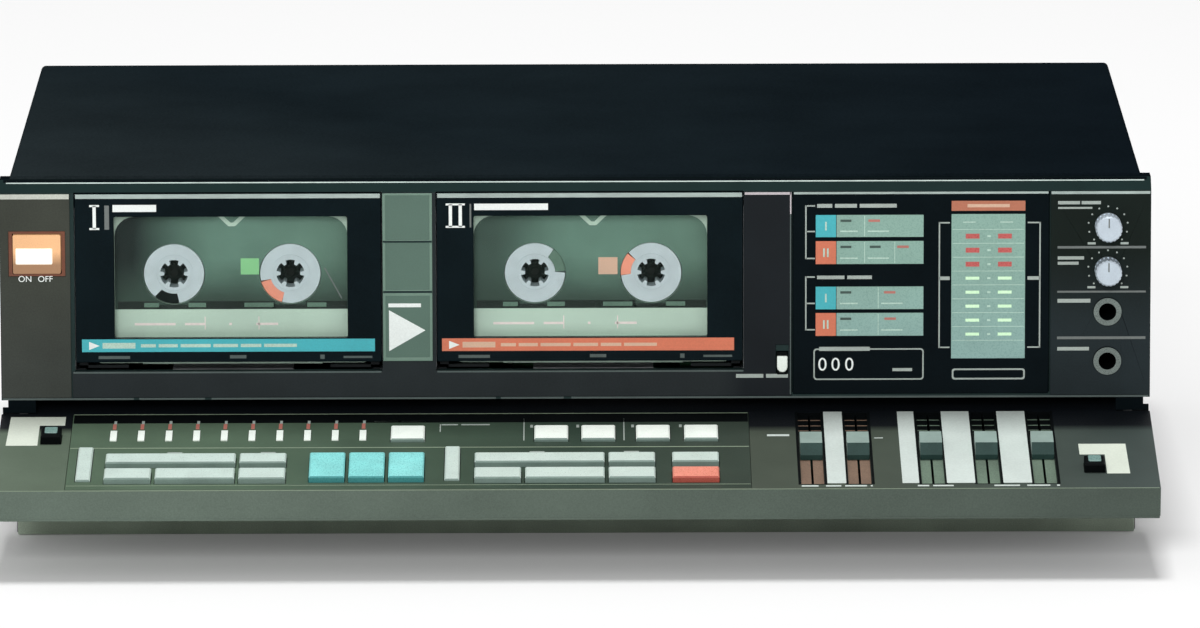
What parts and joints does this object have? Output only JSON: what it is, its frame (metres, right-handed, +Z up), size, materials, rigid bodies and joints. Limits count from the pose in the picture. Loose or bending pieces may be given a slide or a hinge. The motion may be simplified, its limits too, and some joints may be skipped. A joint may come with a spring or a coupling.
{
  "type": "cassette duplicator",
  "caption": "Double cassette deck with bottom-hinged window doors over toothed reel spindles, level display, pull-out sloping drawer of transport keys and faders",
  "frame": {"origin": "on the floor, under the middle of the outline with the drawer out", "axes": "+X to the viewer's right, +Y to the rear, +Z up; the front faces -Y"},
  "size_m": [0.42, 0.3292, 0.133],
  "materials": {
    "chassis": "satin black",
    "top_cover": "satin black fine texture",
    "front_fascia": "moulded satin",
    "display_window": "smoked panel",
    "jack_sockets": "plated ring",
    "line_sockets": "block with plated pins",
    "mains_inlet": "moulded",
    "feet": "moulded",
    "case_screws": "blackened",
    "power_transformer": "laminated core and winding",
    "circuit_boards": "lacquered board",
    "tape_transports": "plated plate",
    "control_drawer": "moulded satin",
    "key_plate": "moulded satin",
    "track_lamps": "diffusing",
    "left_door": "clear lid painted behind",
    "left_cassette": "smoky clear shell",
    "left_supply_spindle": "moulded",
    "left_supply_hub": "moulded",
    "left_take_up_spindle": "moulded",
    "left_take_up_hub": "moulded",
    "right_door": "clear lid painted behind",
    "right_cassette": "smoky clear shell",
    "right_supply_spindle": "moulded",
    "right_supply_hub": "moulded",
    "right_take_up_spindle": "moulded",
    "right_take_up_hub": "moulded",
    "left_play_key": "satin",
    "left_stop_key": "satin",
    "left_rewind_key": "satin",
    "left_wind_key": "satin",
    "left_pause_key": "satin",
    "right_play_key": "satin",
    "right_stop_key": "satin",
    "right_rewind_key": "satin",
    "right_wind_key": "satin",
    "right_pause_key": "satin",
    "normal_dub_key": "satin",
    "fast_dub_key": "satin",
    "sync_dub_key": "satin",
    "mute_key": "satin",
    "record_key": "satin",
    "left_eject_key": "satin",
    "right_eject_key": "satin",
    "clear_key": "satin",
    "tape_key": "satin",
    "filter_key": "satin",
    "repeat_key": "satin",
    "timer_key": "satin",
    "left_drawer_button": "satin",
    "right_drawer_button": "satin",
    "power_button": "lit lens in frame",
    "counter_reset_button": "satin",
    "fader_1": "satin",
    "fader_2": "satin",
    "fader_3": "satin",
    "fader_4": "satin",
    "fader_5": "satin",
    "upper_level_knob": "satin",
    "lower_level_knob": "satin"
  },
  "bodies": {
    "case": {"chassis": "chassis", "top_cover": "top_cover", "front_fascia": "front_fascia", "display_window": "display_window", "jack_sockets": "jack_sockets", "line_sockets": "line_sockets", "mains_inlet": "mains_inlet", "feet": "feet", "case_screws": "case_screws", "power_transformer": "power_transformer", "circuit_boards": "circuit_boards", "tape_transports": "tape_transports"},
    "drawer": {"control_drawer": "control_drawer", "key_plate": "key_plate", "track_lamps": "track_lamps"},
    "left_door_body": {"left_door": "left_door", "left_cassette": "left_cassette"},
    "left_supply_spindle": {"left_supply_spindle": "left_supply_spindle"},
    "left_supply_hub": {"left_supply_hub": "left_supply_hub"},
    "left_take_up_spindle": {"left_take_up_spindle": "left_take_up_spindle"},
    "left_take_up_hub": {"left_take_up_hub": "left_take_up_hub"},
    "right_door_body": {"right_door": "right_door", "right_cassette": "right_cassette"},
    "right_supply_spindle": {"right_supply_spindle": "right_supply_spindle"},
    "right_supply_hub": {"right_supply_hub": "right_supply_hub"},
    "right_take_up_spindle": {"right_take_up_spindle": "right_take_up_spindle"},
    "right_take_up_hub": {"right_take_up_hub": "right_take_up_hub"},
    "left_play_key": {"left_play_key": "left_play_key"},
    "left_stop_key": {"left_stop_key": "left_stop_key"},
    "left_rewind_key": {"left_rewind_key": "left_rewind_key"},
    "left_wind_key": {"left_wind_key": "left_wind_key"},
    "left_pause_key": {"left_pause_key": "left_pause_key"},
    "right_play_key": {"right_play_key": "right_play_key"},
    "right_stop_key": {"right_stop_key": "right_stop_key"},
    "right_rewind_key": {"right_rewind_key": "right_rewind_key"},
    "right_wind_key": {"right_wind_key": "right_wind_key"},
    "right_pause_key": {"right_pause_key": "right_pause_key"},
    "normal_dub_key": {"normal_dub_key": "normal_dub_key"},
    "fast_dub_key": {"fast_dub_key": "fast_dub_key"},
    "sync_dub_key": {"sync_dub_key": "sync_dub_key"},
    "mute_key": {"mute_key": "mute_key"},
    "record_key": {"record_key": "record_key"},
    "left_eject_key": {"left_eject_key": "left_eject_key"},
    "right_eject_key": {"right_eject_key": "right_eject_key"},
    "clear_key": {"clear_key": "clear_key"},
    "tape_key": {"tape_key": "tape_key"},
    "filter_key": {"filter_key": "filter_key"},
    "repeat_key": {"repeat_key": "repeat_key"},
    "timer_key": {"timer_key": "timer_key"},
    "left_drawer_button": {"left_drawer_button": "left_drawer_button"},
    "right_drawer_button": {"right_drawer_button": "right_drawer_button"},
    "power_button": {"power_button": "power_button"},
    "counter_reset_button": {"counter_reset_button": "counter_reset_button"},
    "fader_1": {"fader_1": "fader_1"},
    "fader_2": {"fader_2": "fader_2"},
    "fader_3": {"fader_3": "fader_3"},
    "fader_4": {"fader_4": "fader_4"},
    "fader_5": {"fader_5": "fader_5"},
    "upper_level_knob": {"upper_level_knob": "upper_level_knob"},
    "lower_level_knob": {"lower_level_knob": "lower_level_knob"}
  },
  "joints": [
    {"name": "drawer_slide", "type": "slide", "parent": "case", "child": "drawer", "axis": [0, 0.986, 0.1668], "range_m": [0, 0.077]},
    {"name": "left_door_hinge", "type": "hinge", "parent": "case", "child": "left_door_body", "pos_m": [-0.12665, -0.08035, 0.06], "axis": [1, 0, 0], "range_deg": [0, 24]},
    {"name": "left_supply_spindle_turn", "type": "hinge", "parent": "case", "child": "left_supply_spindle", "pos_m": [-0.1467, -0.06985, 0.0961], "axis": [0, -1, 0], "continuous": true},
    {"name": "left_supply_hub_turn", "type": "hinge", "parent": "left_door_body", "child": "left_supply_hub", "pos_m": [-0.1467, -0.07315, 0.0961], "axis": [0, -1, 0], "continuous": true},
    {"name": "left_take_up_spindle_turn", "type": "hinge", "parent": "case", "child": "left_take_up_spindle", "pos_m": [-0.1042, -0.06985, 0.0961], "axis": [0, -1, 0], "continuous": true},
    {"name": "left_take_up_hub_turn", "type": "hinge", "parent": "left_door_body", "child": "left_take_up_hub", "pos_m": [-0.1042, -0.07315, 0.0961], "axis": [0, -1, 0], "continuous": true},
    {"name": "right_door_hinge", "type": "hinge", "parent": "case", "child": "right_door_body", "pos_m": [0.00525, -0.08035, 0.06], "axis": [1, 0, 0], "range_deg": [0, 24]},
    {"name": "right_supply_spindle_turn", "type": "hinge", "parent": "case", "child": "right_supply_spindle", "pos_m": [-0.0148, -0.06985, 0.0961], "axis": [0, -1, 0], "continuous": true},
    {"name": "right_supply_hub_turn", "type": "hinge", "parent": "right_door_body", "child": "right_supply_hub", "pos_m": [-0.0148, -0.07315, 0.0961], "axis": [0, -1, 0], "continuous": true},
    {"name": "right_take_up_spindle_turn", "type": "hinge", "parent": "case", "child": "right_take_up_spindle", "pos_m": [0.0277, -0.06985, 0.0961], "axis": [0, -1, 0], "continuous": true},
    {"name": "right_take_up_hub_turn", "type": "hinge", "parent": "right_door_body", "child": "right_take_up_hub", "pos_m": [0.0277, -0.07315, 0.0961], "axis": [0, -1, 0], "continuous": true},
    {"name": "left_play_key_press", "type": "slide", "parent": "drawer", "child": "left_play_key", "axis": [0, 0.1668, -0.986], "range_m": [0, 0.0015], "stiffness_N_per_m": 150, "springref_m": -0.002},
    {"name": "left_stop_key_press", "type": "slide", "parent": "drawer", "child": "left_stop_key", "axis": [0, 0.1668, -0.986], "range_m": [0, 0.0015], "stiffness_N_per_m": 150, "springref_m": -0.002},
    {"name": "left_rewind_key_press", "type": "slide", "parent": "drawer", "child": "left_rewind_key", "axis": [0, 0.1668, -0.986], "range_m": [0, 0.0015], "stiffness_N_per_m": 150, "springref_m": -0.002},
    {"name": "left_wind_key_press", "type": "slide", "parent": "drawer", "child": "left_wind_key", "axis": [0, 0.1668, -0.986], "range_m": [0, 0.0015], "stiffness_N_per_m": 150, "springref_m": -0.002},
    {"name": "left_pause_key_press", "type": "slide", "parent": "drawer", "child": "left_pause_key", "axis": [0, 0.1668, -0.986], "range_m": [0, 0.0015], "stiffness_N_per_m": 150, "springref_m": -0.002},
    {"name": "right_play_key_press", "type": "slide", "parent": "drawer", "child": "right_play_key", "axis": [0, 0.1668, -0.986], "range_m": [0, 0.0015], "stiffness_N_per_m": 150, "springref_m": -0.002},
    {"name": "right_stop_key_press", "type": "slide", "parent": "drawer", "child": "right_stop_key", "axis": [0, 0.1668, -0.986], "range_m": [0, 0.0015], "stiffness_N_per_m": 150, "springref_m": -0.002},
    {"name": "right_rewind_key_press", "type": "slide", "parent": "drawer", "child": "right_rewind_key", "axis": [0, 0.1668, -0.986], "range_m": [0, 0.0015], "stiffness_N_per_m": 150, "springref_m": -0.002},
    {"name": "right_wind_key_press", "type": "slide", "parent": "drawer", "child": "right_wind_key", "axis": [0, 0.1668, -0.986], "range_m": [0, 0.0015], "stiffness_N_per_m": 150, "springref_m": -0.002},
    {"name": "right_pause_key_press", "type": "slide", "parent": "drawer", "child": "right_pause_key", "axis": [0, 0.1668, -0.986], "range_m": [0, 0.0015], "stiffness_N_per_m": 150, "springref_m": -0.002},
    {"name": "normal_dub_key_press", "type": "slide", "parent": "drawer", "child": "normal_dub_key", "axis": [0, 0.1668, -0.986], "range_m": [0, 0.0015], "stiffness_N_per_m": 150, "springref_m": -0.002},
    {"name": "fast_dub_key_press", "type": "slide", "parent": "drawer", "child": "fast_dub_key", "axis": [0, 0.1668, -0.986], "range_m": [0, 0.0015], "stiffness_N_per_m": 150, "springref_m": -0.002},
    {"name": "sync_dub_key_press", "type": "slide", "parent": "drawer", "child": "sync_dub_key", "axis": [0, 0.1668, -0.986], "range_m": [0, 0.0015], "stiffness_N_per_m": 150, "springref_m": -0.002},
    {"name": "mute_key_press", "type": "slide", "parent": "drawer", "child": "mute_key", "axis": [0, 0.1668, -0.986], "range_m": [0, 0.0015], "stiffness_N_per_m": 150, "springref_m": -0.002},
    {"name": "record_key_press", "type": "slide", "parent": "drawer", "child": "record_key", "axis": [0, 0.1668, -0.986], "range_m": [0, 0.0015], "stiffness_N_per_m": 150, "springref_m": -0.002},
    {"name": "left_eject_key_press", "type": "slide", "parent": "drawer", "child": "left_eject_key", "axis": [0, 0.1668, -0.986], "range_m": [0, 0.0015], "stiffness_N_per_m": 150, "springref_m": -0.002},
    {"name": "right_eject_key_press", "type": "slide", "parent": "drawer", "child": "right_eject_key", "axis": [0, 0.1668, -0.986], "range_m": [0, 0.0015], "stiffness_N_per_m": 150, "springref_m": -0.002},
    {"name": "clear_key_press", "type": "slide", "parent": "drawer", "child": "clear_key", "axis": [0, 0.1668, -0.986], "range_m": [0, 0.001], "stiffness_N_per_m": 150, "springref_m": -0.002},
    {"name": "tape_key_press", "type": "slide", "parent": "drawer", "child": "tape_key", "axis": [0, 0.1668, -0.986], "range_m": [0, 0.001], "stiffness_N_per_m": 150, "springref_m": -0.002},
    {"name": "filter_key_press", "type": "slide", "parent": "drawer", "child": "filter_key", "axis": [0, 0.1668, -0.986], "range_m": [0, 0.001], "stiffness_N_per_m": 150, "springref_m": -0.002},
    {"name": "repeat_key_press", "type": "slide", "parent": "drawer", "child": "repeat_key", "axis": [0, 0.1668, -0.986], "range_m": [0, 0.001], "stiffness_N_per_m": 150, "springref_m": -0.002},
    {"name": "timer_key_press", "type": "slide", "parent": "drawer", "child": "timer_key", "axis": [0, 0.1668, -0.986], "range_m": [0, 0.001], "stiffness_N_per_m": 150, "springref_m": -0.002},
    {"name": "left_drawer_button_press", "type": "slide", "parent": "drawer", "child": "left_drawer_button", "axis": [0, 0.1668, -0.986], "range_m": [0, 0.0015], "stiffness_N_per_m": 150, "springref_m": -0.002},
    {"name": "right_drawer_button_press", "type": "slide", "parent": "drawer", "child": "right_drawer_button", "axis": [0, 0.1668, -0.986], "range_m": [0, 0.0015], "stiffness_N_per_m": 150, "springref_m": -0.002},
    {"name": "power_button_press", "type": "slide", "parent": "case", "child": "power_button", "axis": [0, 1, 0], "range_m": [0, 0.0012], "stiffness_N_per_m": 150, "springref_m": -0.002},
    {"name": "counter_reset_button_press", "type": "slide", "parent": "case", "child": "counter_reset_button", "axis": [0, 1, 0], "range_m": [0, 0.0015], "stiffness_N_per_m": 150, "springref_m": -0.002},
    {"name": "fader_1_slide", "type": "slide", "parent": "drawer", "child": "fader_1", "axis": [0, 0.986, 0.1668], "range_m": [-0.026, 0.03]},
    {"name": "fader_2_slide", "type": "slide", "parent": "drawer", "child": "fader_2", "axis": [0, 0.986, 0.1668], "range_m": [-0.026, 0.03]},
    {"name": "fader_3_slide", "type": "slide", "parent": "drawer", "child": "fader_3", "axis": [0, 0.986, 0.1668], "range_m": [-0.026, 0.03]},
    {"name": "fader_4_slide", "type": "slide", "parent": "drawer", "child": "fader_4", "axis": [0, 0.986, 0.1668], "range_m": [-0.026, 0.03]},
    {"name": "fader_5_slide", "type": "slide", "parent": "drawer", "child": "fader_5", "axis": [0, 0.986, 0.1668], "range_m": [-0.026, 0.03]},
    {"name": "upper_level_knob_turn", "type": "hinge", "parent": "case", "child": "upper_level_knob", "pos_m": [0.1943, -0.08835, 0.1143], "axis": [0, -1, 0], "range_deg": [-150, 150]},
    {"name": "lower_level_knob_turn", "type": "hinge", "parent": "case", "child": "lower_level_knob", "pos_m": [0.1943, -0.08835, 0.098], "axis": [0, -1, 0], "range_deg": [-150, 150]}
  ],
  "couplings": [
    {"joint": "left_supply_hub_turn", "follows": "left_supply_spindle_turn", "ratio": 1},
    {"joint": "left_take_up_hub_turn", "follows": "left_take_up_spindle_turn", "ratio": 1},
    {"joint": "right_supply_hub_turn", "follows": "right_supply_spindle_turn", "ratio": 1},
    {"joint": "right_take_up_hub_turn", "follows": "right_take_up_spindle_turn", "ratio": 1}
  ]
}
